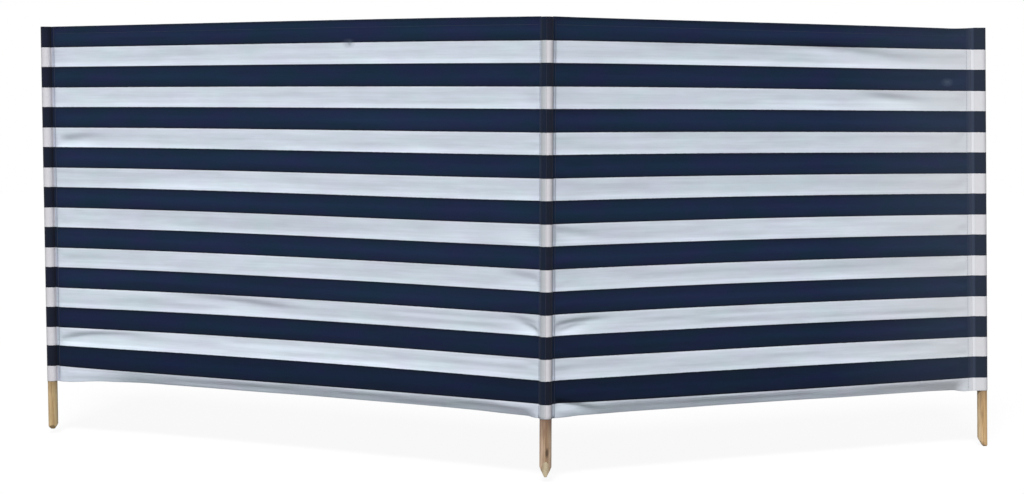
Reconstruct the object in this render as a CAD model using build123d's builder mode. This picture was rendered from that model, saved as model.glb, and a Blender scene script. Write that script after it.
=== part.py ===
"""Beach windbreak: two bays of striped cloth carried in sewn pockets on three pointed wooden poles.

Units are millimetres and +Z is up. The origin is on the flat tip of the middle pole. The front faces -Y,
and both bays run back towards +Y from the middle pole, the left one to -X and the right one to +X.
"""

import os
from math import cos, pi, radians, sin, tan

from build123d import *

os.makedirs("parts", exist_ok=True)

# Cloth, woven in stripes that run along both bays
navy_stripe_height = 62.0
white_stripe_height = 58.0
navy_stripe_count = 9
cloth_thickness = 1.2
top_hem_height = 24.0
bottom_hem_height = 32.0
hem_fold_radius = 1.0
seam_width = 18.0  # doubled cloth beside each pocket

# Bays at rest: length between the pole axes at the ground, and plan angle back from the X axis
left_bay_length = 1737.0
left_bay_angle = 32.0
right_bay_length = 1478.0
right_bay_angle = 29.0

# Poles
middle_pole_diameter = 32.0
end_pole_diameter = 29.0
pole_length = 1200.0
pole_top_chamfer = 3.0
pole_headroom = 9.0  # from the top of the middle pole up to the cap of its pocket
left_pole_lean = 0.85  # degrees that the top leans away from the middle pole, in the plane of the bay
right_pole_lean = -1.5
left_pole_drop = 0.0  # how far the tip stands below the middle pole's tip
right_pole_drop = 14.0

# Pockets
pocket_slack = 0.3  # all round a pole in its pocket
pocket_facets = 24  # flat sides that make up the round of a pocket
loop_corner = 45.0  # degrees from the bay's line, where an end pocket's cloth leaves the round for its seam
left_seam_reach = 12.0  # from the pole's surface to the seam that closes the pocket
right_seam_reach = 20.0
swing_gap = 0.3  # between the middle pocket and the cloth of a bay

# Foot cuts: compass direction in plan, height of the cut, distance of its lower edge from the pole's axis
middle_foot_cuts = [(270, 42.0, 3.0), (90, 38.0, 3.0), (0, 28.0, 3.0), (180, 28.0, 3.0)]
left_foot_cuts = [(270, 12.0, 6.0), (90, 12.0, 6.0), (0, 17.0, 4.0), (180, 9.0, 5.5)]
right_foot_cuts = [(270, 5.0, 10.0), (90, 5.0, 10.0), (0, 4.0, 11.0), (180, 26.0, -1.0)]

# The cloth hangs from the pole tops: its height, and the heights of its stripes from the bottom hem up
stripe_pitch = navy_stripe_height + white_stripe_height
cloth_height = bottom_hem_height + navy_stripe_count * stripe_pitch - white_stripe_height
cloth_bottom = pole_length + pole_headroom - cloth_height
lowest_stripe = cloth_bottom + bottom_hem_height
navy_bottoms = [lowest_stripe + n * stripe_pitch for n in range(navy_stripe_count)]
cloth_top = navy_bottoms[-1] + navy_stripe_height
navy_bands = [(z, navy_stripe_height) for z in navy_bottoms]
white_bands = [(z + navy_stripe_height, white_stripe_height) for z in navy_bottoms[:-1]]
hem_band = (cloth_bottom, bottom_hem_height)

seam_thickness = 2 * cloth_thickness
corner_factor = 1 / cos(pi / pocket_facets)  # a facetted round's corner radius over its flats' distance


def pocket_bore(pole_diameter):
    """Distance from the axis to the flats inside a pocket."""
    return pole_diameter / 2 + pocket_slack


def pocket_outside(pole_diameter):
    """Distance from the axis to the flats outside a pocket."""
    return pocket_bore(pole_diameter) + cloth_thickness


def facetted_round(flat_distance, **options):
    RegularPolygon(flat_distance * corner_factor, pocket_facets, **options)


def save(piece, name):
    """Label a finished piece and write it as the node of that name."""
    piece.part.label = name
    export_step(piece.part, f"parts/{name}.step")


class BaySide:
    """Where one bay lies: its plane, the two ends of its cloth and the line of its end pole."""

    def __init__(self, direction, back, bay_length, lean, pole_drop, seam_reach):
        self.along = Vector(cos(radians(direction)), sin(radians(direction)), 0)
        self.plan = Plane(origin=(0, 0, 0), x_dir=self.along, z_dir=(0, 0, 1))
        self.elevation = Plane(origin=(0, 0, 0), x_dir=self.along, z_dir=self.plan.y_dir * back)
        self.up = self.elevation.y_dir.Z  # 1 or -1: the elevation's own y axis against height
        self.start = pocket_outside(middle_pole_diameter) * corner_factor + swing_gap
        self.bay_length = bay_length
        self.slope = tan(radians(lean))
        self.pole_direction = self.along * sin(radians(lean)) + Vector(0, 0, 1) * cos(radians(lean))
        self.pole_drop = pole_drop
        self.closing = end_pole_diameter / 2 + seam_reach

    def axis_at(self, height):
        """Distance of the end pole's axis from the middle pole's, at a height."""
        return self.bay_length + self.slope * height

    def seam_at(self, height):
        """Where the single cloth ends and the end pocket's doubled seam begins."""
        return self.axis_at(height) - self.closing - seam_width

    def pole_foot(self):
        return self.along * self.axis_at(-self.pole_drop) - Vector(0, 0, self.pole_drop)


def build_pole(name, foot, direction, diameter, foot_cuts):
    """A round pole with a chamfered top, its foot cut to a point by flat cuts."""
    sideways = direction.cross(Vector(1, 0, 0)).normalized()
    base = Plane(origin=foot, x_dir=sideways.cross(direction), z_dir=direction)
    with BuildPart() as pole:
        with BuildSketch(base):
            Circle(diameter / 2)
        extrude(amount=pole_length)
        chamfer(pole.edges().filter_by(GeomType.CIRCLE).sort_by(Axis.Z)[-1], length=pole_top_chamfer)
        for bearing, cut_height, tip_reach in foot_cuts:
            outward = base.x_dir * cos(radians(bearing)) + base.y_dir * sin(radians(bearing))
            cut_depth = diameter / 2 - tip_reach
            inward = direction * cut_depth - outward * cut_height
            split(bisect_by=Plane(origin=foot + outward * tip_reach, z_dir=inward), keep=Keep.TOP)
    save(pole, name)


def build_cap(name, plan, distance, pole_diameter):
    """The folded-in cloth that closes the top of a pocket."""
    with BuildPart() as cap:
        with BuildSketch(plan.offset(cloth_top)):
            with Locations((distance, 0)):
                facetted_round(pocket_outside(pole_diameter))
        extrude(amount=cloth_thickness)
    save(cap, name)


def build_middle_pocket(name, bands):
    """One colour's stripes of the round pocket on the middle pole."""
    with BuildPart() as pocket:
        for bottom, height in bands:
            with BuildSketch(Plane.XY.offset(bottom)):
                facetted_round(pocket_outside(middle_pole_diameter))
                facetted_round(pocket_bore(middle_pole_diameter), mode=Mode.SUBTRACT)
            extrude(amount=height)
    save(pocket, name)


def closed_loop(side, flat_distance, seam_half):
    """A facetted round drawn out to the seam, where it ends seam_half either side of the bay's line."""
    facetted_round(flat_distance)
    corner = flat_distance * corner_factor
    x, y = corner * cos(radians(loop_corner)), corner * sin(radians(loop_corner))
    Polygon((-x, y), (-side.closing, seam_half), (-side.closing, -seam_half), (-x, -y), align=None)


def build_end_pocket(name, side, bands):
    """One colour's stripes of an end pocket: a loop round the pole that closes in a doubled seam."""
    with BuildPart() as pocket:
        for bottom, height in bands:
            with BuildSketch(side.plan.offset(bottom)) as loop:
                with Locations((side.axis_at(bottom), 0)):
                    closed_loop(side, pocket_outside(end_pole_diameter), seam_thickness / 2)
                    with BuildSketch(mode=Mode.PRIVATE) as inside:
                        closed_loop(side, pocket_bore(end_pole_diameter), cloth_thickness / 10)
                    add(inside.sketch_local, mode=Mode.SUBTRACT)
                with Locations((side.axis_at(bottom) - side.closing, 0)):
                    Rectangle(seam_width, seam_thickness, align=(Align.MAX, Align.CENTER))
            extrude(amount=height / side.pole_direction.Z, dir=side.pole_direction)
    save(pocket, name)


def cloth_outline(side, start, bottom, height):
    """Outline of a band of cloth in elevation: upright at its inner end, along the end pole at its outer."""
    top = bottom + height
    corners = [(start, bottom), (side.seam_at(bottom), bottom), (side.seam_at(top), top), (start, top)]
    Polygon(*[(x, side.up * z) for x, z in corners], align=None)


def build_bay_stripes(name, side, bands):
    """One colour's stripes of a bay: single cloth, doubled along its inner seam."""
    with BuildPart() as stripes:
        for bottom, height in bands:
            with BuildSketch(side.elevation):
                cloth_outline(side, side.start, bottom, height)
            extrude(amount=cloth_thickness / 2, both=True)
            with BuildSketch(side.plan.offset(bottom)):
                with Locations((side.start, 0)):
                    Rectangle(seam_width, seam_thickness, align=(Align.MIN, Align.CENTER))
            extrude(amount=height)
    save(stripes, name)


def build_top_hem(name, side):
    """The top edge turned down once on the back of the top stripe."""
    with BuildPart() as hem:
        with BuildSketch(side.elevation.offset(cloth_thickness / 2)):
            cloth_outline(side, side.start + seam_width, cloth_top - top_hem_height, top_hem_height)
        extrude(amount=cloth_thickness)
    save(hem, name)


def build_bottom_hem(name, side):
    """The white strip along the bottom, folded double over its lower edge."""
    with BuildPart() as hem:
        with BuildSketch(side.elevation):
            cloth_outline(side, side.start, *hem_band)
        extrude(amount=seam_thickness / 2, both=True)
        fold = hem.edges().group_by(Axis.Z)[0].group_by(SortBy.LENGTH)[-1]
        fillet(fold, radius=hem_fold_radius)
    save(hem, name)


def build_bay(name, side, foot_cuts):
    """A bay of cloth with its end pocket and end pole."""
    build_bay_stripes(f"{name}_bay_navy_stripes", side, navy_bands)
    build_bay_stripes(f"{name}_bay_white_stripes", side, white_bands)
    build_top_hem(f"{name}_bay_top_hem", side)
    build_bottom_hem(f"{name}_bay_bottom_hem", side)
    build_end_pocket(f"{name}_pocket_navy_stripes", side, navy_bands)
    build_end_pocket(f"{name}_pocket_white_stripes", side, [hem_band] + white_bands)
    build_cap(f"{name}_pocket_cap", side.plan, side.axis_at(cloth_top), end_pole_diameter)
    build_pole(f"{name}_pole", side.pole_foot(), side.pole_direction, end_pole_diameter, foot_cuts)


left_side = BaySide(
    180 - left_bay_angle, -1, left_bay_length, left_pole_lean, left_pole_drop, left_seam_reach
)
right_side = BaySide(
    right_bay_angle, 1, right_bay_length, right_pole_lean, right_pole_drop, right_seam_reach
)

build_pole("middle_pole", Vector(0, 0, 0), Vector(0, 0, 1), middle_pole_diameter, middle_foot_cuts)
build_middle_pocket("middle_pocket_navy_stripes", navy_bands)
build_middle_pocket("middle_pocket_white_stripes", [hem_band] + white_bands)
build_cap("middle_pocket_cap", Plane.XY, 0, middle_pole_diameter)
build_bay("left", left_side, left_foot_cuts)
build_bay("right", right_side, right_foot_cuts)
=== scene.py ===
"""Looks of the beach windbreak: striped canvas in two bays, sewn round three pointed wooden poles.

Everything is in metres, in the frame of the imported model: +Z up, the middle pole's tip at the origin and the
front towards -Y. Each cloth starts as a flat sheet and is laid along its bay, round its pole and into its
hems, then bowed and creased. The stripes belong to the material, which reads them from the flat sheet.
"""

import math
from dataclasses import dataclass

import bpy
import numpy as np
from mathutils import Matrix, Vector


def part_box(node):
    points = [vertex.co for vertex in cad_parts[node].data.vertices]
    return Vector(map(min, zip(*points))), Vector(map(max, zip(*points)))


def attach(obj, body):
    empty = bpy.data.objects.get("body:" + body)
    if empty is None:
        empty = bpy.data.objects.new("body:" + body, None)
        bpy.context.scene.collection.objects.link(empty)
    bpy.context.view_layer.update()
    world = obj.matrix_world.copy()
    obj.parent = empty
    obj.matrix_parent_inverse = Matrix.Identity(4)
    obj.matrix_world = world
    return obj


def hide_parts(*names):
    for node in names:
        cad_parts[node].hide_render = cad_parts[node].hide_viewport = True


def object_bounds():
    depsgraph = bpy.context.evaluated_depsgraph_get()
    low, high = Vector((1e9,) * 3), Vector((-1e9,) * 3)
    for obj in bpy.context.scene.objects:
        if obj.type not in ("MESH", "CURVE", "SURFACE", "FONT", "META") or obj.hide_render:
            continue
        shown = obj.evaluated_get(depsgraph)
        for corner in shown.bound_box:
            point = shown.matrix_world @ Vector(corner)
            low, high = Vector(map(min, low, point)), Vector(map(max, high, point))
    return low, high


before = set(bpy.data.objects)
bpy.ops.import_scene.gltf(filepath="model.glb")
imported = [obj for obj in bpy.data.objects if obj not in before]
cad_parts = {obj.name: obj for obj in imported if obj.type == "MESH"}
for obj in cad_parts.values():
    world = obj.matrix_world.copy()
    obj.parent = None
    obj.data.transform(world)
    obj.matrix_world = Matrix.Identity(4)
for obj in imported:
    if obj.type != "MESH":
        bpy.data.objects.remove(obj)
cad_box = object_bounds()

UP = np.array([0, 0, 1.0])

# Stripes, as in the CAD
NAVY_STRIPE = 0.062
WHITE_STRIPE = 0.058
PITCH = NAVY_STRIPE + WHITE_STRIPE
BOTTOM_BAND = 0.032  # of white, below the lowest navy stripe
CLOTH_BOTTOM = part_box("left_bay_bottom_hem")[0].z
CLOTH_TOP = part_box("left_bay_navy_stripes")[1].z
CLOTH_HEIGHT = CLOTH_TOP - CLOTH_BOTTOM

# Sewing
CANVAS = 0.00045  # thickness of one layer
YARN_PITCH = 0.0013
TOP_HEM = 0.024
BOTTOM_HEM = 0.030
HEM_SEWN = 0.003  # from a hem's cut edge to its stitches
HEM_GAP = 0.0024  # between the layers of a hem at its fold, out in a bay
SEWN_GAP = 0.0006  # and where it is sewn flat
SEAM_LAP = 0.018  # of cloth behind the seam of an end pocket
BINDING_BACK = 0.016  # of tape on the back of a bay's inner edge
BINDING_BEHIND = 2.2 * SEWN_GAP  # and how far it stands behind
STITCH_LENGTH = 0.0032
STITCH_PITCH = 0.0046
THREAD_RADIUS = 0.0004

# Poles and their cloth
END_POLE_RADIUS = 0.0145
CUT_END = 0.05  # of pole above its tip, in which its cut faces lie
SLEEVE_INNER = 0.01627  # radius of the middle sleeve's hems
SLEEVE_OUTER = 0.01668
SLEEVE_LAP = 0.00010  # that the lap down its front stands proud
SLEEVE_SLACK = 0.00006
SLEEVE_CUT = 0.0168  # radius that the sleeve is cut for
LAP_EDGE = 0.21  # where the lap ends, in radians to the left of the front


# ---------------- soft fields


def smooth_noise(x, y, seed):
    """A soft random field from -1 to 1, with bumps about one unit of x and y wide."""
    size = 97  # after which it repeats
    values = np.random.default_rng(seed).uniform(-1, 1, (size, size))
    x, y = np.broadcast_arrays(np.asarray(x, float), np.asarray(y, float))
    column, row = np.floor(x).astype(int), np.floor(y).astype(int)
    fx, fy = (t * t * t * (t * (6 * t - 15) + 10) for t in (x - column, y - row))

    def corner(right, up):
        return values[(row + up) % size, (column + right) % size]

    low = corner(0, 0) * (1 - fx) + corner(1, 0) * fx
    high = corner(0, 1) * (1 - fx) + corner(1, 1) * fx
    return low * (1 - fy) + high * fy


def smoothstep(low, high, x):
    """From 0 at low to 1 at high, level at both. low may be the greater of the two."""
    t = np.clip((np.asarray(x, float) - low) / (high - low), 0, 1)
    return t * t * (3 - 2 * t)


def hump(x, centre, width):
    """1 at the centre, and little more than a third at width from it."""
    return np.exp(-(((x - centre) / width) ** 2))


def crease(s, z, path, width, depth, rise=0.10):
    """A fold along a path of (s, z) points: the cloth goes in sharply and comes back out gently below. It is
    deepest at rise of the way along."""
    widening, gentler = 0.6, 2.6
    path_s, path_z = np.array(path).T
    curve = np.polyfit(path_s, path_z, len(path) - 1)
    along = (s - path_s[0]) / (path_s[-1] - path_s[0])
    above = z - np.polyval(curve, np.clip(s, path_s.min(), path_s.max()))
    fade = smoothstep(-0.3 * rise, rise, along) * (1 - smoothstep(max(0.35, rise), 1.0, along))
    spread = width * (1 + widening * np.clip(along, 0, 1)) * np.where(above > 0, 1, gentler)
    return -depth * fade * hump(above, 0, spread)


# ---------------- meshes


def add_mesh(name, vertices, faces, material):
    mesh = bpy.data.meshes.new(name)
    mesh.from_pydata(vertices.tolist(), [], faces.tolist())
    mesh.polygons.foreach_set("use_smooth", [True] * len(mesh.polygons))
    mesh.materials.append(material)
    obj = bpy.data.objects.new(name, mesh)
    bpy.context.scene.collection.objects.link(obj)
    return obj


def quads(rows, columns):
    """The faces of a grid of points."""
    index = np.arange(rows * columns).reshape(rows, columns)
    return np.stack([index[:-1, :-1], index[:-1, 1:], index[1:, 1:], index[1:, :-1]], axis=-1).reshape(-1, 4)


def add_sheet(name, points, flat, material, closed=False, **fields):
    """Cloth over a grid of points (rows, columns, 3). flat holds each point's place on the uncut cloth, and
    fields are kept for its material, each from 0 to 1."""
    rows, columns = flat.shape[:2]
    faces = quads(rows, columns)
    corners = flat.reshape(-1, 2)[faces.ravel()]
    fields = {key: np.broadcast_to(field, (rows, columns)) for key, field in fields.items()}
    if closed:
        points = points[:, :-1]
        fields = {key: field[:, :-1] for key, field in fields.items()}
        row, column = np.divmod(faces, columns)
        faces = row * (columns - 1) + column % (columns - 1)
    obj = add_mesh(name, points.reshape(-1, 3), faces, material)
    obj.data.uv_layers.new(name="flat").data.foreach_set("uv", corners.astype(np.float32).ravel())
    for key, field in fields.items():
        stored = obj.data.attributes.new(key, "FLOAT", "POINT")
        stored.data.foreach_set("value", field.astype(np.float32).ravel())
    layer = obj.modifiers.new("canvas", "SOLIDIFY")
    layer.thickness = CANVAS
    layer.offset = 0
    return obj


def stitch_run(points, outward):
    """Where each stitch of a seam goes, from points along it and the way out of the cloth at each: its
    middle, its direction and its way out."""
    steps = np.concatenate([[0], np.cumsum(np.linalg.norm(np.diff(points, axis=0), axis=1))])
    at = np.arange(STITCH_PITCH, steps[-1] - STITCH_PITCH / 2, STITCH_PITCH)

    def along(values, where):
        return np.stack([np.interp(where, steps, values[:, k]) for k in range(3)], axis=1)

    middle, out = along(points, at), along(outward, at)
    direction = along(points, at + 0.001) - middle
    direction /= np.linalg.norm(direction, axis=1, keepdims=True)
    out -= direction * np.sum(direction * out, axis=1, keepdims=True)
    out /= np.linalg.norm(out, axis=1, keepdims=True)
    return middle + out * (CANVAS / 2), direction, out


def add_stitches(name, runs, material):
    """Short raised threads for several runs of stitches, each a tube whose two ends dip into the cloth."""
    middle, direction, outward = (np.concatenate(parts) for parts in zip(*runs))
    side = np.cross(direction, outward)
    # Place along the stitch in stitch lengths, and radius and height above the cloth in thread radii
    rings = ((-0.5, 0.3, -0.5), (-0.3, 1.0, 0.5), (0.3, 1.0, 0.5), (0.5, 0.3, -0.5))
    sides = 5
    ring = np.arange(sides)
    vertices = []
    for length, radius, lift in rings:
        for angle in ring * 2 * math.pi / sides:
            across = side * math.cos(angle) * radius + outward * (math.sin(angle) * radius + lift)
            vertices.append(middle + direction * length * STITCH_LENGTH + across * THREAD_RADIUS)
    after = (ring + 1) % sides
    band = np.stack([ring, after, after + sides, ring + sides], axis=1)
    one = np.concatenate([band + k * sides for k in range(len(rings) - 1)])
    faces = one[None] + np.arange(len(middle))[:, None, None] * len(rings) * sides
    return add_mesh(name, np.stack(vertices, axis=1).reshape(-1, 3), faces.reshape(-1, 4), material)


# ---------------- materials


class Shader:
    """Builds the nodes of a material or a world. A value is a number, a colour or a socket."""

    def __init__(self, owner):
        owner.use_nodes = True
        self.owner, self.tree = owner, owner.node_tree
        self.surface = self.tree.nodes.get("Principled BSDF") or self.tree.nodes["Background"]

    def put(self, socket, value):
        if isinstance(value, bpy.types.NodeSocket):
            self.tree.links.new(value, socket)
        else:
            socket.default_value = value

    def node(self, kind, inputs=(), **settings):
        made = self.tree.nodes.new(kind)
        for key, value in settings.items():
            setattr(made, key, value)
        for key, value in dict(inputs).items():
            self.put(made.inputs[key], value)
        return made

    def maths(self, operation, a, b=0.0, c=0.0):
        return self.node("ShaderNodeMath", {0: a, 1: b, 2: c}, operation=operation).outputs[0]

    def mapped(self, vector, scale, location=(0, 0, 0)):
        settings = {"Vector": vector, "Location": location, "Scale": scale}
        return self.node("ShaderNodeMapping", settings).outputs["Vector"]

    def noise(self, vector, detail=2.0, roughness=0.5, distortion=0.0, scale=1.0):
        settings = {"Vector": vector, "Scale": scale, "Detail": detail}
        settings |= {"Roughness": roughness, "Distortion": distortion}
        return self.node("ShaderNodeTexNoise", settings).outputs["Fac"]

    def spread(self, value, low, high, to_low=0.0, to_high=1.0):
        """From to_low at low to to_high at high, and no further."""
        settings = {0: value, 1: low, 2: high, 3: to_low, 4: to_high}
        return self.node("ShaderNodeMapRange", settings).outputs[0]

    def mix(self, factor, a, b, blend_type="MIX"):
        inputs = {0: factor, 6: a, 7: b}
        return self.node("ShaderNodeMix", inputs, data_type="RGBA", blend_type=blend_type).outputs[2]

    def ramp(self, factor, stops):
        made = self.node("ShaderNodeValToRGB", {"Fac": factor})
        elements = made.color_ramp.elements
        while len(elements) < len(stops):
            elements.new(0.5)
        for element, (position, colour) in zip(elements, stops):
            element.position = position
            element.color = colour
        return made.outputs["Color"]

    def spot(self, vector, centre, scale):
        """A round patch about centre, as wide as 1 / scale each way: 1 in its middle and 0 at its edge."""
        location = tuple(-c * k for c, k in zip(centre, scale))
        moved = self.mapped(vector, scale, location)
        return self.node("ShaderNodeTexGradient", {0: moved}, gradient_type="SPHERICAL").outputs["Fac"]

    def field(self, name):
        """What add_sheet kept under this name."""
        return self.node("ShaderNodeAttribute", attribute_name=name).outputs["Fac"]

    def set_surface(self, **inputs):
        """Sets the surface's own sockets, named with _ for spaces."""
        for name, value in inputs.items():
            self.put(self.surface.inputs[name.replace("_", " ")], value)
        return self.owner

    def bump(self, height, distance, strength):
        settings = {"Height": height, "Distance": distance, "Strength": strength}
        return self.node("ShaderNodeBump", settings).outputs["Normal"]


def new_material(name):
    return Shader(bpy.data.materials.new(name))


def srgb(red, green, blue):
    """A colour of 0 to 255 on screen, as the shader's linear values."""
    screen = (red / 255, green / 255, blue / 255)
    linear = [c / 12.92 if c <= 0.04 else ((c + 0.055) / 1.055) ** 2.4 for c in screen]
    return (*linear, 1.0)


def make_canvas(name, shift, smudge, bleaching):
    """Woven cotton, its stripes read from the flat cloth's height. shift moves its uneven places along,
    smudge is where the dye is rubbed and bleaching where the sun begins to tell."""
    shader = new_material(name)
    mix, maths, spread = shader.mix, shader.maths, shader.spread
    flat = shader.node("ShaderNodeUVMap", uv_map="flat").outputs["UV"]
    parts = shader.node("ShaderNodeSeparateXYZ", {0: flat})
    along, height = parts.outputs["X"], parts.outputs["Y"]
    on_pole, doubled_and_highlit, soiled = (shader.field(name) for name in ("on_pole", "doubled_and_highlit", "soiled"))

    def cloth_noise(x, y, detail=2.0, roughness=0.5):
        """Noise with x and y bumps to the metre."""
        return shader.noise(shader.mapped(flat, (x, y, 1.0), (shift, 0, 0)), detail, roughness)

    # Height within one pitch, from the foot of a navy stripe. Hems turn over in their own colour.
    foot_colour, top_colour = BOTTOM_BAND - 0.9 * WHITE_STRIPE, CLOTH_HEIGHT - 0.003
    limits = {"Value": height, "Min": foot_colour, "Max": top_colour}
    inside = shader.node("ShaderNodeClamp", limits).outputs[0]
    fray = spread(cloth_noise(420.0, 90.0, 1.0), 0.3, 0.7, -0.0004, 0.0004)
    phase = maths("ADD", maths("SUBTRACT", inside, BOTTOM_BAND), fray)
    phase = maths("DIVIDE", maths("WRAP", phase, PITCH, 0.0), PITCH)
    edge = NAVY_STRIPE / PITCH
    navy = [(0.000, 8, 16, 30), (0.060, 15, 32, 55), (0.250, 21, 39, 66), (0.440, 17, 34, 58)]
    navy += [(edge - 0.003, 8, 19, 34)]
    white = [(edge + 0.003, 217, 227, 239), (edge + 0.070, 219, 229, 241), (edge + 0.130, 208, 218, 229)]
    white += [(0.830, 204, 214, 225), (0.955, 207, 216, 227), (0.985, 215, 222, 232), (0.999, 206, 213, 224)]
    stripes = shader.ramp(phase, [(position, srgb(*colour)) for position, *colour in navy + white])
    is_white = maths("GREATER_THAN", phase, edge)

    # The dye is uneven: the navy runs from purple to teal, and the white a little
    clouds = spread(cloth_noise(6.0, 14.0, 3.0, 0.6), 0.36, 0.64)
    purple = mix(is_white, (1.30, 0.84, 1.12, 1), (1.0, 0.96, 0.995, 1))
    teal = mix(is_white, (0.62, 1.06, 0.93, 1), (0.965, 0.995, 0.98, 1))
    tinted = mix(1.0, stripes, mix(clouds, purple, teal), "MULTIPLY")

    # Wet sand has darkened the navy at the foot, and the sea has washed the white there
    low_down = spread(height, 0.06, 0.34, 1.0, 0.0)
    washed = mix(is_white, (0.34, 0.54, 0.64, 1), (1.03, 1.03, 1.03, 1))
    tinted = mix(low_down, tinted, washed, "MULTIPLY")

    # Slubs and slack picks run along the cloth, and painted shade darkens it towards the middle pole
    slubs = cloth_noise(14.0, 900.0)
    streaks = spread(cloth_noise(3.0, 120.0, 3.0, 0.6), 0.25, 0.75, 0.93, 1.07)
    blotches = spread(cloth_noise(9.0, 30.0, 2.0), 0.3, 0.7, 0.96, 1.04)
    shade_by_pole = spread(along, 0.02, 0.45, 0.95, 1.0)
    shade = spread(slubs, 0.25, 0.75, 0.955, 1.045)
    for part in (streaks, blotches, shade_by_pole):
        shade = maths("MULTIPLY", shade, part)
    shading = shader.node("ShaderNodeCombineXYZ", {0: shade, 1: shade, 2: shade}).outputs[0]
    shaded = mix(1.0, tinted, shading, "MULTIPLY")

    # Faded along the fold at the top, and rubbed in one place
    from_fold = maths("ABSOLUTE", maths("SUBTRACT", height, CLOTH_HEIGHT))
    faded = spread(from_fold, 0.0, 0.002, 0.45, 0.0)
    worn = maths("MULTIPLY", faded, spread(cloth_noise(30.0, 30.0), 0.35, 0.65))
    rubbed = shader.spot(flat, (*smudge, 0), (40, 70, 1))
    worn = maths("MAXIMUM", worn, maths("MULTIPLY", rubbed, cloth_noise(90.0, 90.0)))
    shaded = mix(worn, shaded, srgb(92, 104, 122))

    # Lighter where a second layer lies behind, and a painted highlight on the seam's ridge, navy and white
    paler_and_highlit = mix(is_white, srgb(52, 60, 78), srgb(238, 240, 246))
    shaded = mix(maths("MULTIPLY", doubled_and_highlit, 0.85), shaded, paler_and_highlit)

    # Wood close behind thin cloth warms it; the grey where the cloth leaves the wood is painted shade
    wood_and_shade_white = shader.ramp(on_pole, [(0.45, srgb(178, 181, 184)), (0.9, srgb(209, 205, 208))])
    wood_and_shade_navy = shader.ramp(on_pole, [(0.45, srgb(17, 26, 43)), (0.9, srgb(22, 25, 37))])
    behind = mix(is_white, wood_and_shade_navy, wood_and_shade_white)
    shaded = mix(spread(on_pole, 0.0, 0.45, 0.0, 0.8), shaded, behind)

    # Painted shade in the pockets' grooves, on the tape by the sleeve and down the sleeve's right side
    patchy = spread(cloth_noise(60.0, 40.0), 0.3, 0.7, 0.8, 1.0)
    painted_shade_amount = maths("MULTIPLY", soiled, patchy)
    shaded = mix(painted_shade_amount, shaded, (0.36, 0.35, 0.42, 1), "MULTIPLY")

    # The sun has bleached it towards the far end, and the white more than the navy
    bleached = mix(is_white, srgb(66, 78, 96), srgb(215, 216, 220))
    strength = maths("MULTIPLY_ADD", is_white, 0.40, 0.22)
    far_end = spread(along, bleaching, bleaching + 0.45)
    shaded = mix(maths("MULTIPLY", far_end, strength), shaded, bleached)

    # The weave and its thicker yarns stand up
    threads = 2 * math.pi / YARN_PITCH
    warp = maths("SINE", maths("MULTIPLY", along, threads))
    weft = maths("SINE", maths("MULTIPLY", height, threads))
    weave = maths("MULTIPLY", warp, weft)
    yarn = maths("ADD", maths("MULTIPLY", weave, 0.35), slubs)
    return shader.set_surface(
        Base_Color=shaded,
        Normal=shader.bump(yarn, 0.00035, 0.7),
        Roughness=0.92,
        Specular_IOR_Level=0.15,
        Sheen_Weight=0.03,
        Sheen_Roughness=0.5,
    )


def make_thread(name, dark, light):
    """Twisted sewing thread."""
    shader = new_material(name)
    place = shader.node("ShaderNodeTexCoord").outputs["Object"]
    twist = shader.noise(place, detail=2.0, scale=900.0)
    colour = shader.ramp(twist, [(0.3, dark), (0.7, light)])
    return shader.set_surface(Base_Color=colour, Normal=shader.bump(twist, 0.0002, 0.6), Roughness=0.7)


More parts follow.
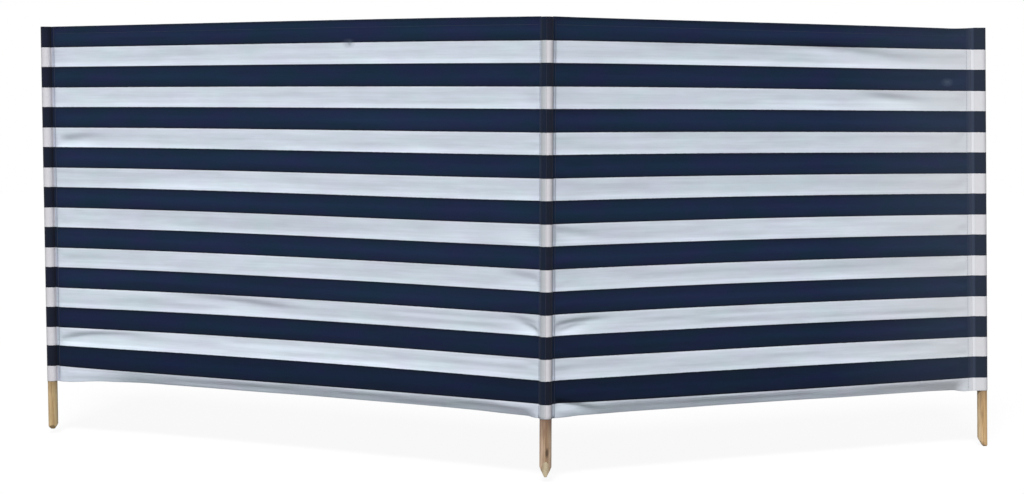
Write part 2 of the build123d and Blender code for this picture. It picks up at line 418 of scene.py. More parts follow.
def make_wood(name, colours, foot, axis, sides, stain=None):
    """Bare softwood with its grain up the pole, and cut faces at its foot. colours are pale, mid, dark and the
    cut faces; axis is the pole's x at the level of the origin and how much x grows with height; sides paint
    light and shade across it, left to right; and the last is the x and height of a dark spot."""
    pale, mid, dark, cut = (srgb(*colour) for colour in colours)
    shader = new_material(name)
    mix, maths, spread = shader.mix, shader.maths, shader.spread
    coordinates = shader.node("ShaderNodeTexCoord")
    place = coordinates.outputs["Object"]
    parts = shader.node("ShaderNodeSeparateXYZ", {0: place})
    height = parts.outputs["Z"]

    # All of it is drawn out up the pole, the grain and its fibres most
    grained, fibrous, blotched = (shader.mapped(place, (1, 1, drawn)) for drawn in (0.035, 0.02, 0.4))
    bands = shader.noise(grained, detail=4.0, roughness=0.62, distortion=0.35, scale=260.0)
    fibres = shader.noise(fibrous, detail=2.0, scale=1500.0)
    blotches = shader.noise(blotched, detail=3.0, scale=45.0)
    grain = shader.ramp(bands, [(0.30, dark), (0.46, mid), (0.62, pale), (0.75, mid)])
    grain = mix(spread(fibres, 0.55, 0.75, 0.0, 0.35), grain, dark)
    grain = mix(spread(blotches, 0.45, 0.7, 0.0, 0.4), grain, mid)

    # Painted light and shade across the pole, its sides lighter or darker than its middle
    on_axis = maths("MULTIPLY_ADD", height, axis[1], axis[0])
    across = maths("SUBTRACT", parts.outputs["X"], on_axis)
    wavy = maths("ADD", across, spread(blotches, 0.3, 0.7, -0.003, 0.003))
    side = spread(wavy, -END_POLE_RADIUS, END_POLE_RADIUS)
    side_light = shader.ramp(side, [(0.05, sides[0]), (0.46, sides[1]), (0.66, sides[1]), (0.95, sides[2])])
    grain = mix(1.0, grain, side_light, "MULTIPLY")

    # Cut faces slope, the round doesn't
    slope = shader.node("ShaderNodeSeparateXYZ", {0: coordinates.outputs["Normal"]}).outputs["Z"]
    is_cut = spread(maths("ABSOLUTE", slope), 0.045, 0.09)
    low_down = spread(height, foot + CUT_END + 0.01, foot + CUT_END)
    cut_and_shaded = mix(spread(fibres, 0.4, 0.7, 0.0, 0.6), cut, mid)
    # Cut faces off the pole's middle are painted darker, as shade on the side facets
    cut_and_shaded = mix(spread(maths("ABSOLUTE", wavy), 0.003, 0.012, 0.0, 0.75), cut_and_shaded, mid)
    wood = mix(maths("MULTIPLY", is_cut, low_down), grain, cut_and_shaded)

    # Painted shade darkens the wood just under the cloth, and sand and damp the last of the foot
    grime_and_shade = maths("ADD", height, spread(blotches, 0.3, 0.7, -0.012, 0.012))
    wood = mix(spread(grime_and_shade, CLOTH_BOTTOM - 0.055, CLOTH_BOTTOM - 0.004, 0.0, 0.7), wood, dark)
    wood = mix(spread(grime_and_shade, foot + 0.010, foot, 0.0, 0.6), wood, dark)
    # A dark spot on the front, above the cut
    if stain:
        stain_x, stain_height = stain
        front = -0.016
        spot = shader.spot(place, (stain_x, front, stain_height), (170, 50, 56))
        wood = mix(spread(spot, 0.1, 0.6, 0.0, 0.85), wood, srgb(62, 48, 34))
    ridges = maths("ADD", bands, maths("MULTIPLY", fibres, 0.5))
    return shader.set_surface(
        Base_Color=wood,
        Normal=shader.bump(ridges, 0.0006, 0.55),
        Roughness=spread(bands, 0.3, 0.7, 0.5, 0.72),
        Specular_IOR_Level=0.35,
    )


left_canvas = make_canvas("left_canvas", shift=0.0, smudge=(0.62, 0.99), bleaching=1.75)
right_canvas = make_canvas("right_canvas", shift=37.0, smudge=(1.32, 0.897), bleaching=0.90)
thread = make_thread("navy_thread", srgb(26, 32, 50), srgb(58, 66, 90))
white_thread = make_thread("white_thread", srgb(186, 190, 200), srgb(222, 226, 234))


# ---------------- cloth of a bay


def pocket_plan(margin, seam, leaving, dip, contact, radius):
    """Plan of the cloth from the last of the bay round the pole and back behind it, from the pole's axis: x
    outwards and y to the front. It dips at the seam and from there goes to the pole, which it meets at
    contact radians from the bay's plane. Returns places along it, the inward direction at each and how far
    along they are."""
    # Corners of the plan, from a run-in of open cloth that is cut off again below
    run_in, before_seam, past_seam = 0.02, 0.004, 0.002
    leaves = contact if contact > 0 else 0.55
    turn = np.linspace(math.pi - contact, leaves - math.pi, 240)
    on_round = np.stack([radius * np.cos(turn), radius * np.sin(turn)], axis=1)
    behind = -3 * SEWN_GAP
    front = [[-seam - margin - run_in, 0], [-seam - before_seam, 0]]
    front += [[-seam + past_seam, -dip], [-leaving, -dip]]
    back = [[-leaving, behind - dip], [-seam + past_seam, behind - dip]]
    back += [[-seam - before_seam, behind], [-seam - SEAM_LAP, behind]]
    corners = np.concatenate([front, on_round, back])

    # Softened in even steps, with a little of the far end left out
    step, softness, reach, left_out = 0.00025, 0.0013, 20, 8
    steps = np.concatenate([[0], np.cumsum(np.linalg.norm(np.diff(corners, axis=0), axis=1))])
    walk = np.arange(0, steps[-1], step)
    path = np.stack([np.interp(walk, steps, corners[:, k]) for k in (0, 1)], axis=1)
    window = np.exp(-((np.arange(-reach, reach + 1) * step / softness) ** 2))
    padded = np.pad(path, ((reach, reach), (0, 0)), mode="edge")
    soft = [np.convolve(padded[:, k], window / window.sum(), mode="valid") for k in (0, 1)]
    soft = np.stack(soft, axis=1)[round(run_in / step) : -left_out]
    heading = np.gradient(soft, axis=0)
    heading /= np.linalg.norm(heading, axis=1, keepdims=True)
    inward = np.stack([heading[:, 1], -heading[:, 0]], axis=1)

    # Most of the columns go to the front, which shows
    columns, last = 78, len(soft) - 1
    keep = np.interp(np.linspace(0, 1, columns), [0, 0.6, 1], [0, 0.4 * last, last])
    keep = np.unique(np.round(keep).astype(int))
    return soft[keep], inward[keep], keep * step


# Heights at which a bay's bow and its lift are given
BOW_HEIGHTS = [CLOTH_BOTTOM, CLOTH_BOTTOM + 0.06, 0.35, 0.65, CLOTH_TOP]
FOOT_STRIPE = CLOTH_BOTTOM + BOTTOM_BAND
LIFT_HEIGHTS = [CLOTH_BOTTOM, FOOT_STRIPE, FOOT_STRIPE + NAVY_STRIPE, 0.32, 0.43, 0.70]
LIFT_HEIGHTS += [CLOTH_TOP - NAVY_STRIPE, CLOTH_TOP]

# Down a seam, clear of the hems' folds
SEAM_HEIGHTS = np.linspace(CLOTH_TOP - 0.004, CLOTH_BOTTOM + 0.003, 120)

# Height, length and width of the ripples along a bay, from middling to broad to fine
RIPPLES = [(0.0012, 0.45, 0.027), (0.0030, 0.55, 0.100), (0.0007, 0.20, 0.012)]


@dataclass
class Bay:
    """One bay of cloth: where it lies and how it hangs. s is the distance from the middle pole's axis."""

    side: str
    canvas: bpy.types.Material
    seed: int
    lean: float  # of the end pole, in degrees
    seam_reach: float  # from the end pole's surface to the seam of its pocket
    margin: float  # from that seam to the open bay
    leaving: float  # where the cloth leaves the seam for the pole, from the pole's axis
    dip: float  # of the cloth between the seam and the pole
    contact: float  # where the cloth meets the pole, in radians from the bay's plane
    wrapped: float  # where the cloth no longer lies on wood, from the pole's axis
    ridge: float  # how much the seam's two layers show: lighter, and with a painted highlight
    soil: float  # how much painted shade the seam's groove gets
    seam_shade_at: tuple  # the middle of that painted shade past the open bay, and its width
    binding_front: float  # of tape before the inner edge
    binding_shadow: float  # how much painted shadow the tape gets
    bow: list  # how far the bay stands back in its middle, at each of BOW_HEIGHTS
    lift: list  # for each of LIFT_HEIGHTS, millimetres from the middle pole to the end pole
    top_fall: float  # of the top edge below the level of the pockets
    fall_over: tuple  # where that fall begins and is full
    pocket_hang: float  # of the cloth's foot by the end pocket
    curl_angle: float  # to which the bottom hem has turned under, in degrees
    curl_from: float  # how far from the middle pole that curl is full
    curl_to: tuple  # and where it ends and is full again, from the seam
    creases: list

    start = 0.0187  # s of the cloth's inner edge
    middle_hang = 0.001  # of the cloth's foot by the middle pole
    hem_drop = 0.002  # and where the hem curls

    def __post_init__(self):
        cap_low, cap_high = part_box(f"{self.side}_pocket_cap")
        cap = (cap_low + cap_high) / 2
        self.along = np.array(Vector((cap.x, cap.y, 0)).normalized())
        self.front = np.array([self.along[1], -self.along[0], 0.0])
        self.front *= -math.copysign(1, self.front[1])
        self.axis_at_top = math.hypot(cap.x, cap.y)
        self.slope = math.tan(math.radians(self.lean))
        self.seam = END_POLE_RADIUS + self.seam_reach
        self.closing = self.seam + self.margin

    def axis_at(self, z):
        """Where the end pole's axis is."""
        return self.axis_at_top + self.slope * (z - CLOTH_TOP)

    def seam_at(self, z):
        """Where the open cloth ends, just before the seam."""
        return self.axis_at(z) - self.closing

    def hem_gap(self, s):
        """Between the two layers of a hem at its fold."""
        out = smoothstep(self.start, self.start + 0.03, s) * smoothstep(0, 0.04, self.seam_at(CLOTH_TOP) - s)
        return SEWN_GAP + (HEM_GAP - SEWN_GAP) * out

    def relief(self, s, z):
        """How far the cloth stands forward of the bay's plane."""
        seam = self.seam_at(z)
        from_edge, to_seam = s - self.start, seam - s
        t = np.clip(from_edge / (seam - self.start), 0, 1)
        bow = np.interp(z, BOW_HEIGHTS, self.bow) * np.sin(math.pi * t)

        # Ripples run along the open cloth, and the seams at its two ends pucker it
        held = smoothstep(0, 0.06, from_edge) * smoothstep(0, 0.06, to_seam)
        ripples = sum(
            depth * smooth_noise(s / length, z / width, self.seed + k)
            for k, (depth, length, width) in enumerate(RIPPLES)
        )
        near_seams = hump(s, self.start, 0.05) + hump(s, seam, 0.06)
        pucker = 0.0010 * near_seams * smooth_noise(s / 0.045, z / 0.016, self.seed + 3)
        pucker *= smoothstep(0, 0.008, from_edge) * smoothstep(0, 0.008, to_seam)

        # Stitches draw the cloth in along the hems
        top_seam, foot_seam = CLOTH_TOP - TOP_HEM + HEM_SEWN, CLOTH_BOTTOM + BOTTOM_HEM - HEM_SEWN
        sewn = hump(z, top_seam, 0.003) + hump(z, foot_seam, 0.003)
        drawn = -sewn * held * (0.0004 + 0.0004 * smooth_noise(s / 0.03, 0.5, self.seed + 4))
        folds = sum(crease(s, z, *fold) for fold in self.creases)
        return -bow + held * ripples + smoothstep(0, 0.02, from_edge) * folds + pucker + drawn

    def raised(self, s, z):
        """How far the cloth is drawn up: smoothly along each row of lift, straight from one to the next."""
        t = np.clip((s - self.start) / (self.seam_at(z) - self.start), 0, 1)
        across = [np.polyval(np.polyfit(np.linspace(0, 1, 4), line, 3), t) for line in self.lift]
        across = np.array(np.broadcast_arrays(*across))
        part = np.interp(z, LIFT_HEIGHTS, np.arange(float(len(LIFT_HEIGHTS))))
        lower = np.clip(np.floor(part).astype(int), 0, len(LIFT_HEIGHTS) - 2)
        low, high = (np.take_along_axis(across, (lower + k)[None], axis=0)[0] for k in (0, 1))
        return 0.001 * (low + (high - low) * (part - lower))

    def fall(self, s, width):
        """How far the top edge runs below the level of the pockets, at s from the inner edge."""
        ending = smoothstep(width + 0.060, width - 0.060, s)
        return self.top_fall * smoothstep(*self.fall_over, s) * ending

    def curl(self, s):
        """How far the bottom hem has turned under, in radians."""
        out = smoothstep(self.start, self.start + self.curl_from, s)
        out = out * smoothstep(*self.curl_to, self.seam_at(CLOTH_BOTTOM) - s)
        return math.radians(self.curl_angle) * out * (1 + 0.10 * smooth_noise(s / 0.2, 0.5, self.seed + 5))

    def place(self, share, past, stand, inward, z, offset):
        """Where flat cloth at these columns and this height ends up, offset towards its back. share is the
        part of the way to the seam, and past and stand are the place in the pocket's plan beyond it."""
        s = self.start + share * (self.seam_at(z) - self.start) + past
        in_bay = past <= 0
        depth = stand + self.relief(s, z) * (in_bay & (stand == 0))
        height = z + self.raised(s, z)

        # The lowest part of the cloth turns under: round a bend at first, and then straight on
        turn = np.maximum(self.curl(s) * in_bay, 1e-4)
        reach = 0.024 + 0.013 * smoothstep(0.03, 0.25, s)
        below = np.clip(CLOTH_BOTTOM + reach - z, 0, None)
        bend = 0.4 * reach
        bent = np.minimum(below, bend)
        angle = turn * bent / bend
        straight = below - bent
        depth = depth - (1 - np.cos(angle)) * bend / turn - straight * np.sin(turn)
        height = height + below - np.sin(angle) * bend / turn - straight * np.cos(turn)

        s = s + inward[:, 0] * offset
        depth = depth + inward[:, 1] * offset * np.cos(angle)
        height = height + offset * np.sin(angle)
        return s[:, None] * self.along + depth[:, None] * self.front + height[:, None] * UP

    def surface(self, s, z, offset=0.0):
        """The same for single points of the bay."""
        s, z, offset = (np.array(a, float) for a in np.broadcast_arrays(s, z, offset))
        shape = s.shape
        s, z, offset = s.ravel(), z.ravel(), offset.ravel()
        width = self.seam_at(z) - self.start
        share = np.minimum((s - self.start) / width, 1)
        past = np.maximum(s - self.start - width, 0)
        back = np.tile([0.0, -1.0], (len(s), 1))
        return self.place(share, past, 0 * s, back, z, offset).reshape(*shape, 3)

    def body_heights(self):
        """Heights of the rows between the folds, closest where the hems and the deepest creases are."""
        rows, creased_at = 184, (0.285, 0.405)
        walk = np.linspace(CLOTH_TOP - HEM_GAP, CLOTH_BOTTOM + HEM_GAP, 2000)
        busy = 1 + 2.2 * hump(walk, CLOTH_BOTTOM, 0.04) + 1.2 * hump(walk, CLOTH_TOP, 0.03)
        busy += sum(1.3 * hump(walk, height, 0.05) for height in creased_at)
        count = np.cumsum(busy) - busy[0]
        return np.interp(np.linspace(0, count[-1], rows), count, walk)

    def build(self):
        """The cloth from its inner edge to behind its end pole, row by row from the top hem down."""
        # Columns: across the bay, closer by its edge and its seam, and then round the pole
        width = self.seam_at((CLOTH_TOP + CLOTH_BOTTOM) / 2) - self.start
        near_edge = np.arange(6) * 0.0018
        across_bay = np.linspace(0.0125, 1 - 0.014 / width, 140)
        near_seam = 1 - np.array([0.009, 0.006, 0.003, 0.0]) / width
        shares = np.concatenate([near_edge, across_bay, near_seam])
        round_pole = (self.leaving, self.dip, self.contact, END_POLE_RADIUS + 0.0010)
        loop, turned, length = pocket_plan(self.margin, self.seam, *round_pole)
        bay = len(shares)
        share = np.concatenate([shares, np.ones(len(loop) - 1)])
        past = np.concatenate([np.zeros(bay), loop[1:, 0] + self.closing])
        stand = np.concatenate([np.zeros(bay), loop[1:, 1]])
        inward = np.concatenate([np.tile([0.0, -1.0], (bay, 1)), turned[1:]])
        flat_s = np.concatenate([shares * width, width + length[1:]])
        in_pocket = np.arange(len(share)) >= bay
        in_bay = share * width

        # Where its top and its foot run. The lap behind the seam is a little shorter than the rest.
        gap = np.where(in_pocket, SEWN_GAP, self.hem_gap(self.start + in_bay))
        top = CLOTH_TOP - self.fall(in_bay + past, width)
        bottom = CLOTH_BOTTOM - self.pocket_hang * smoothstep(0.90, 1.0, share)
        curled = self.curl(self.start + in_bay) / math.radians(self.curl_angle)
        bottom -= self.middle_hang * hump(in_bay, 0.14, 0.09) + self.hem_drop * curled
        lap = in_pocket & (stand < -self.dip - SEWN_GAP) & (past < self.closing - self.leaving)
        bottom = bottom + 0.004 * lap
        top = top - 0.003 * lap

        points, flat = [], []

        def row(z, offset, woven):
            """Adds a row at height z, set back by offset and at height woven on the flat cloth."""
            points.append(self.place(share, past, stand, inward, z, offset))
            flat.append(np.stack([flat_s, woven + 0 * z], axis=1))

        def hem_offset(h, hem):
            """How far a hem lies behind, at h from its fold: close at its stitches, and its edge is loose."""
            sewn_at, flare = hem - HEM_SEWN, 0.1
            open_share = 1 - smoothstep(0, sewn_at, h)
            return SEWN_GAP + (gap - SEWN_GAP) * open_share + flare * max(h - sewn_at, 0)

        for h in np.linspace(TOP_HEM, 0, 8)[:-1]:
            row(top - gap / 2 - h, hem_offset(h, TOP_HEM), CLOTH_HEIGHT + h)
        for angle in np.linspace(math.pi, 0, 7):
            row(top - gap / 2 * (1 - math.sin(angle)), gap / 2 * (1 - math.cos(angle)), CLOTH_HEIGHT)
        for z in self.body_heights():
            near_top = smoothstep(NAVY_STRIPE, 0, CLOTH_TOP - z)
            near_bottom = smoothstep(BOTTOM_BAND, 0, z - CLOTH_BOTTOM)
            moved = (top - CLOTH_TOP) * near_top + (bottom - CLOTH_BOTTOM) * near_bottom
            row(z + moved, 0 * gap, z - CLOTH_BOTTOM)
        for angle in np.linspace(0, math.pi, 7):
            row(bottom + gap / 2 * (1 - math.sin(angle)), gap / 2 * (1 - math.cos(angle)), 0.0)
        for h in np.linspace(0, BOTTOM_HEM, 10)[1:]:
            row(bottom + gap / 2 + h, hem_offset(h, BOTTOM_HEM), -h)

        # What the material is told: where wood or a second layer shows, and painted shade and highlight
        from_axis = self.closing - past
        in_front = in_pocket & (np.arange(len(share)) < bay + len(loop) // 2)
        on_pole = in_pocket * smoothstep(self.wrapped + 0.001, self.wrapped - 0.003, from_axis)
        past_closing = smoothstep(self.closing + 0.002, self.seam, from_axis)
        # Lighter where the seam's cloth is two layers, and a painted highlight on its ridge
        two_layers_and_highlight = self.ridge * in_front * (1 - on_pole) * past_closing
        # Painted shade in the groove by the end pole, and painted shadow along the inner edge
        seam_painted_shade = self.soil * hump(flat_s - width, *self.seam_shade_at)
        edge_painted_shadow = 0.8 * self.binding_shadow * (in_bay < 0.02) * hump(in_bay, 0.007, 0.0035)
        fields = {"on_pole": on_pole, "doubled_and_highlit": two_layers_and_highlight, "soiled": seam_painted_shade + edge_painted_shadow}
        cloth = add_sheet(f"{self.side}_cloth", np.array(points), np.array(flat), self.canvas, **fields)
        self.flat_size = (float(flat_s[-1]), CLOTH_HEIGHT + TOP_HEM + BOTTOM_HEM)
        return cloth

    def build_binding(self):
        """The tape folded over the bay's inner edge."""
        turn = np.linspace(-math.pi / 2, math.pi / 2, 9)
        middle, radius = (BINDING_BEHIND - SEWN_GAP) / 2, (BINDING_BEHIND + SEWN_GAP) / 2
        past_edge, from_fold, inset = 0.0004, 0.0008, 0.0005
        front = np.linspace(self.binding_front, from_fold, 4)
        back = np.linspace(from_fold, BINDING_BACK, 8)
        s = np.concatenate([front, -past_edge - radius * np.cos(turn), back]) + self.start
        fold = middle + radius * np.sin(turn)
        offset = np.concatenate([0 * front - SEWN_GAP, fold, 0 * back + BINDING_BEHIND])
        z = np.linspace(CLOTH_TOP - inset, CLOTH_BOTTOM + inset, 130)
        grid_s, grid_z = np.meshgrid(s, z)
        points = self.surface(grid_s, grid_z, np.broadcast_to(offset, grid_s.shape))
        across = np.concatenate([[0], np.cumsum(np.hypot(np.diff(s), np.diff(offset)))])
        flat = np.stack(np.meshgrid(across, z - CLOTH_BOTTOM), axis=-1)
        self.binding_flat = (float(across[-1]), CLOTH_HEIGHT)
        # The tape's darkening is painted shadow
        return add_sheet(f"{self.side}_binding", points, flat, self.canvas, soiled=self.binding_shadow)

    def stitches(self, s, z, front, back):
        """Two runs of stitches through these places, on the front and the back, with the offset of each."""
        faces = [(self.surface(s, z, front), self.front), (self.surface(s, z, back), -self.front)]
        return [stitch_run(points, np.tile(outward, (len(points), 1))) for points, outward in faces]

    def seams(self):
        """Runs of dark stitches, and of pale ones along the white bottom hem."""
        by_edge = self.start + 0.007
        along_top = np.linspace(by_edge, self.seam_at(CLOTH_TOP) - 0.001, 200)
        along_foot = np.linspace(by_edge, self.seam_at(CLOTH_BOTTOM) - 0.001, 200)
        fall = self.fall(along_top - self.start, along_top[-1] - self.start)
        top, foot = CLOTH_TOP - TOP_HEM + HEM_SEWN - fall, CLOTH_BOTTOM + BOTTOM_HEM - HEM_SEWN
        pocket, tape = self.seam_at(SEAM_HEIGHTS) + 0.003, self.start + self.binding_front - 0.0012
        dark = self.stitches(along_top, top, 0.0, SEWN_GAP)
        dark += self.stitches(pocket, SEAM_HEIGHTS, 0.0, 3 * SEWN_GAP)
        dark += self.stitches(tape, SEAM_HEIGHTS, -SEWN_GAP, BINDING_BEHIND)
        return dark, self.stitches(along_foot, foot, 0.0, SEWN_GAP)


left = Bay(
    "left", left_canvas, seed=11, lean=0.85,
    seam_reach=0.012, margin=0.008, leaving=0.0176, dip=0.0060, contact=-0.35, wrapped=0.0176,
    ridge=0.0, soil=0.50, seam_shade_at=(0.0150, 0.0145), binding_front=0.0036, binding_shadow=0.0,
    bow=[0.022, 0.026, 0.032, 0.018, 0.004],
    lift=[
        (0, 1, -1, 0), (5.5, 4, 2, 4), (6, 7, 6, 4.5), (5, 5, 4, 0.5),
        (1.2, 3.6, 3.6, 0.6), (0, 0, 2.5, 1), (1.2, 2.8, 1.6, 0), (2.2, 3.5, 2, 0),
    ],
    top_fall=0.0, fall_over=(0.05, 0.25), pocket_hang=0.010,
    curl_angle=33, curl_from=0.05, curl_to=(0.06, 0.32),
    creases=[
        ([(1.715, 0.262), (1.640, 0.279), (1.573, 0.287), (1.436, 0.288), (1.270, 0.279)], 0.0085, 0.0058),
        ([(1.270, 0.409), (1.070, 0.408), (0.960, 0.401), (0.760, 0.394)], 0.0085, 0.0060, 0.55),
        ([(0.018, 0.378), (0.060, 0.393), (0.110, 0.402)], 0.0055, 0.0056, 0.22),
        ([(0.030, 0.400), (0.080, 0.409), (0.160, 0.414)], 0.0070, 0.0038, 0.30),
        ([(1.705, 0.866), (1.600, 0.878), (1.480, 0.880)], 0.0070, 0.0060),
        ([(0.018, 0.518), (0.100, 0.530), (0.180, 0.534)], 0.0060, 0.0040),
    ],
)
right = Bay(
    "right", right_canvas, seed=41, lean=-1.5,
    seam_reach=0.020, margin=0.020, leaving=0.0335, dip=0.0010, contact=0.95, wrapped=0.0265,
    ridge=1.0, soil=0.12, seam_shade_at=(0.0290, 0.0020), binding_front=0.0082, binding_shadow=0.36,
    bow=[0.006, 0.010, 0.013, 0.009, 0.003],
    lift=[
        (0, -1.5, -2, -2), (5.5, 1, 0, 1.5), (5.5, 5, 3.6, 2.2), (5, 4.5, 3, 0.5),
        (1.2, 3.6, 2.6, 0), (0, 2, 1.8, -1.3), (1.2, 0.5, -2.3, -3), (2.2, 1, 2, -1.4),
    ],
    top_fall=0.0045, fall_over=(0.05, 1.20), pocket_hang=0.002,
    curl_angle=30, curl_from=0.10, curl_to=(0.0, 0.04),
    creases=[
        ([(0.022, 0.394), (0.100, 0.402), (0.240, 0.404)], 0.0075, 0.0066, 0.16),
        ([(0.045, 0.379), (0.080, 0.388), (0.150, 0.396)], 0.0045, 0.0036),
        ([(0.780, 1.149), (0.950, 1.138), (1.280, 1.099)], 0.0075, 0.0058, 0.30),
        ([(1.020, 1.012), (1.150, 1.003), (1.290, 0.990)], 0.0065, 0.0060, 0.40),
        ([(0.018, 0.650), (0.100, 0.640), (0.200, 0.632)], 0.0060, 0.0045),
        ([(0.024, 0.196), (0.080, 0.184), (0.200, 0.162)], 0.0050, 0.0085),
    ],
)

for bay in (left, right):
    side = bay.side
    cloth = bay.build()
    binding = bay.build_binding()
    dark_runs, pale_runs = bay.seams()
    dark = add_stitches(f"{side}_stitches", dark_runs, thread)
    pale = add_stitches(f"{side}_hem_stitches", pale_runs, white_thread)
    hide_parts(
        f"{side}_bay_navy_stripes",
        f"{side}_bay_white_stripes",
        f"{side}_bay_top_hem",
        f"{side}_bay_bottom_hem",
        f"{side}_pocket_navy_stripes",
        f"{side}_pocket_white_stripes",
    )
    for piece in (cloth, binding, dark, pale):
        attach(piece, f"{side}_bay")


# ---------------- sleeve of the middle pole, and the caps


SLEEVE_LIFT = (0, 5.5, 6, 5, 1.2, 0, 1.2, 1.8)  # millimetres, at each of LIFT_HEIGHTS


def build_sleeve():
    """The cloth tube on the middle pole: the right bay's edge laps over the left's down its front."""
    front = -math.pi / 2
    angle = np.linspace(front - LAP_EDGE, 3 * math.pi / 2 - LAP_EDGE, 90)
    side = np.cos(angle)
    lapped = smoothstep(-LAP_EDGE, -0.15, angle - front) * smoothstep(0.30, 0.0, angle - 0.2)
    outer = SLEEVE_OUTER + SLEEVE_LAP * lapped
    points, flat = [], []

    def row(z, radius, woven, slack=0.0):
        """Adds a row at height z, and at height woven on the flat cloth."""
        r = radius + slack * smooth_noise(angle / 0.5, z / 0.02, 71)
        z = z + 0.001 * float(np.interp(z, LIFT_HEIGHTS, SLEEVE_LIFT))
        points.append(np.stack([r * np.cos(angle), r * np.sin(angle), z + 0 * r], axis=1))
        flat.append(np.stack([(angle - angle[0]) * SLEEVE_CUT, woven + 0 * angle], axis=1))

    inner = 0 * angle + SLEEVE_INNER
    fold = (inner + outer) / 2
    top, below_fold, hem_start = CLOTH_TOP - 0.001, 0.0004, 0.0006
    for h in np.linspace(TOP_HEM, hem_start, 5):
        row(top - h, inner, CLOTH_HEIGHT + h)
    row(top, fold, CLOTH_HEIGHT)
    for z in np.linspace(top - below_fold, CLOTH_BOTTOM + below_fold, 170):
        row(z, outer, z - CLOTH_BOTTOM, SLEEVE_SLACK)
    row(CLOTH_BOTTOM, fold, 0.0)
    for h in np.linspace(hem_start, BOTTOM_HEM, 6):
        row(CLOTH_BOTTOM + h, inner, -h)
    # Cream where the lap lies on wood; painted shade greys its left and darkens its right side
    wood_and_painted_shade = np.where(lapped > 0.5, 1.0, 0.45) * smoothstep(1.0, 0.8, np.abs(side))
    fields = {"on_pole": wood_and_painted_shade, "soiled": 0.34 * smoothstep(0.25, 0.95, side)}
    return add_sheet("middle_sleeve", np.array(points), np.array(flat), left_canvas, closed=True, **fields)


def build_cap(name, centre, along, closing, radius, level):
    """The round of cloth that closes a pocket over its pole, gathered where it is sewn in. Seen from above it
    runs out to a point where the pocket closes, at closing from its middle."""
    doming, gathering, gathers = 0.0016, 0.0005, 18
    around = np.linspace(0, 2 * math.pi, 73)
    toward = np.abs(np.angle(np.exp(1j * (around - math.pi))))  # from where the pocket closes
    reach = 0 * around + radius
    if closing > radius:
        tangent = math.acos(radius / closing)
        reach = np.where(toward < tangent, radius / np.cos(tangent - np.minimum(toward, tangent)), radius)
    front = np.array([along[1], -along[0], 0.0])
    points, flat = [], []
    for rho in np.array([0.012, 0.15, 0.3, 0.45, 0.6, 0.72, 0.82, 0.9, 0.96, 1.0]):
        x, y = reach * rho * np.cos(around), reach * rho * np.sin(around)
        uneven = gathers * around + 2 * smooth_noise(around * 2, 0.5, 91)
        gathered = gathering * smoothstep(0.2, 0.9, rho) * np.sin(uneven)
        z = level - doming * rho**4 + gathered * (1 - rho**8)
        points.append(centre + x[:, None] * along + y[:, None] * front + z[:, None] * UP)
        flat.append(np.stack([x, y + CLOTH_HEIGHT - NAVY_STRIPE / 2], axis=1))
    cap = add_sheet(name, np.array(points), np.array(flat), left_canvas, closed=True)
    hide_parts(name.replace("_top", "_cap"))
    return cap


sleeve = build_sleeve()
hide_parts("middle_pocket_navy_stripes", "middle_pocket_white_stripes")
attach(sleeve, "middle")

# A seam runs down the front of the lap, a little left of its middle
lap_line = np.stack(np.broadcast_arrays(-0.0012, -0.01688, SEAM_HEIGHTS), axis=1)
lap_run = stitch_run(lap_line, np.tile([-0.07, -1.0, 0.0], (len(lap_line), 1)))
sleeve_stitches = add_stitches("sleeve_stitches", [lap_run], thread)
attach(sleeve_stitches, "middle")

cap = build_cap("middle_pocket_top", np.zeros(3), np.array([1.0, 0, 0]), 0, 0.0162, CLOTH_TOP + 0.0012)
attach(cap, "middle")
for bay in (left, right):
    centre = bay.along * bay.axis_at_top
    level = CLOTH_TOP + 0.001 * bay.lift[-1][-1]
    cap = build_cap(f"{bay.side}_pocket_top", centre, bay.along, bay.leaving - 0.0005, 0.0149, level)
    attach(cap, f"{bay.side}_bay")

# ---------------- poles


def pole_axis(bay):
    """A pole's x at the level of the origin, and how much it grows with height."""
    return bay.along[0] * bay.axis_at(0.0), bay.along[0] * bay.slope


def clad(pole, **looks):
    """Gives a pole's CAD mesh a wood of its own."""
    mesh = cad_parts[pole].data
    mesh.materials.clear()
    mesh.materials.append(make_wood(f"{pole}_wood", **looks))


clad(
    "middle_pole",
    colours=[(170, 142, 112), (142, 113, 88), (98, 70, 58), (228, 214, 180)],
    foot=0.0,
    axis=(0.0, 0.0),
    sides=[(1.85, 2.10, 2.50, 1), (0.98, 1.0, 1.0, 1), (1.55, 1.80, 2.15, 1)],
    stain=(0.0035, 0.066),
)
clad(
    "left_pole",
    colours=[(196, 170, 122), (174, 142, 98), (128, 104, 72), (196, 170, 126)],
    foot=0.0,
    axis=pole_axis(left),
    sides=[(1.45, 1.60, 1.92, 1), (0.88, 0.92, 0.98, 1), (1.00, 1.15, 1.40, 1)],
)
clad(
    "right_pole",
    colours=[(196, 166, 126), (178, 146, 106), (134, 108, 80), (196, 162, 118)],
    foot=-0.014,
    axis=pole_axis(right),
    sides=[(1.30, 1.48, 1.75, 1), (1.16, 1.16, 1.10, 1), (1.45, 1.45, 1.40, 1)],
)

# ---------------- stage, light and camera


def background_rays(shader):
    """1 for the rays that see the background: the camera's own and those off gloss or through glass."""
    rays = shader.node("ShaderNodeLightPath").outputs
    seen = shader.maths("MAXIMUM", rays["Is Camera Ray"], rays["Is Glossy Ray"])
    return shader.maths("MAXIMUM", seen, rays["Is Transmission Ray"])


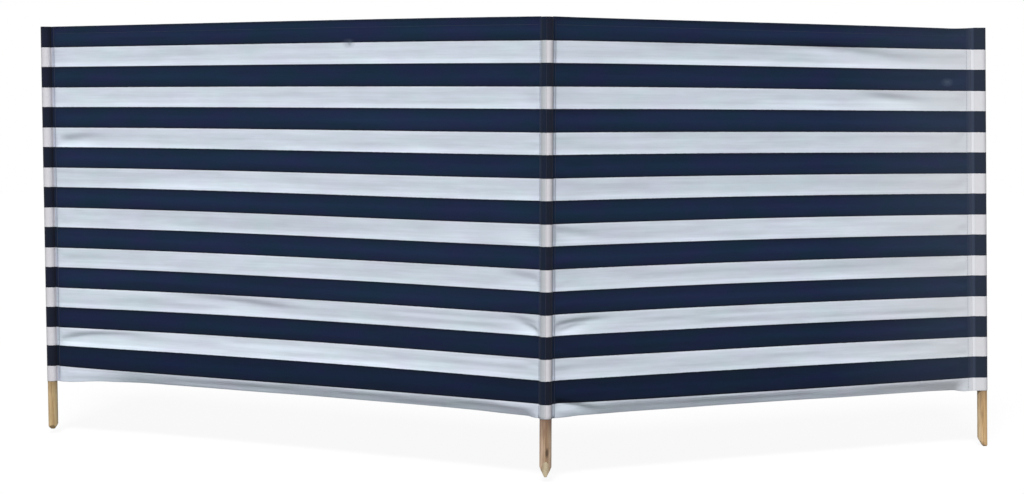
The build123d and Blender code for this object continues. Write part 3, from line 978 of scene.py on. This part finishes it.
def add_floor(level):
    """A white floor that shows only a soft shadow. Its glow makes up for the light's fall towards its
    edges, so that it runs into the white world."""
    size, near = 20.0, 2.0
    near_glow, far_glow, lit_share = 1.31, 1.42, 0.30
    corners = np.array([[-1, -1, 0], [1, -1, 0], [1, 1, 0], [-1, 1, 0]]) * size + [0, 0, level]
    shader = new_material("pale_floor")
    shader.set_surface(Base_Color=(0.27, 0.27, 0.27, 1), Roughness=1.0, Specular_IOR_Level=0.0)
    pale = shader.surface.outputs[0]
    place = shader.node("ShaderNodeTexCoord").outputs["Object"]
    away = shader.node("ShaderNodeVectorMath", {0: place}, operation="LENGTH").outputs["Value"]
    strength = shader.spread(away, near, size, near_glow, far_glow)
    glow = shader.node("ShaderNodeEmission", {"Color": (1, 1, 1, 1), "Strength": strength}).outputs[0]
    seen = shader.node("ShaderNodeMixShader", {0: lit_share, 1: glow, 2: pale}).outputs[0]
    choices = {0: background_rays(shader), 1: pale, 2: seen}
    chosen = shader.node("ShaderNodeMixShader", choices).outputs[0]
    shader.put(shader.tree.nodes["Material Output"].inputs["Surface"], chosen)
    floor = add_mesh("floor", corners, np.array([[0, 1, 2, 3]]), shader.owner)


def light_world(strength):
    """White where it is seen, plainer where it lights."""
    world = bpy.data.worlds.new("studio")
    bpy.context.scene.world = world
    shader = Shader(world)
    level = shader.spread(background_rays(shader), 0.0, 1.0, strength, 1.0)
    shader.set_surface(Color=(1, 1, 1, 1), Strength=level)


def add_area_light(name, place, aim, size, power):
    lamp = bpy.data.lights.new(name, "AREA")
    lamp.shape = "DISK"
    lamp.size = size
    lamp.energy = power
    obj = bpy.data.objects.new(name, lamp)
    obj.location = place
    obj.rotation_euler = (Vector(aim) - Vector(place)).to_track_quat("-Z", "Y").to_euler()
    bpy.context.scene.collection.objects.link(obj)


def add_camera(place, downward, roll, focal_length, sensor_width=36.0):
    """Looks along +Y, with its angles in degrees and its lens in millimetres."""
    lens = bpy.data.cameras.new("camera")
    lens.lens = focal_length
    lens.sensor_width = sensor_width
    camera = bpy.data.objects.new("camera", lens)
    pitched = Matrix.Rotation(math.radians(90 - downward), 4, "X")
    rolled = Matrix.Rotation(math.radians(roll), 4, "Z")
    camera.matrix_world = Matrix.Translation(place) @ pitched @ rolled
    bpy.context.scene.collection.objects.link(camera)
    bpy.context.scene.camera = camera


add_floor(cad_box[0].z)
light_world(strength=0.34)
add_area_light("key", place=(-2.0, -16.6, 19.2), aim=(0.0, 0.3, 0.6), size=6.5, power=7000.0)
# From the height of the upper cloth, a little left of the middle pole
add_camera(place=(-0.09, -6.284, 0.979), downward=3.38, roll=0.19, focal_length=84.375)
bpy.context.scene.view_settings.view_transform = "Standard"
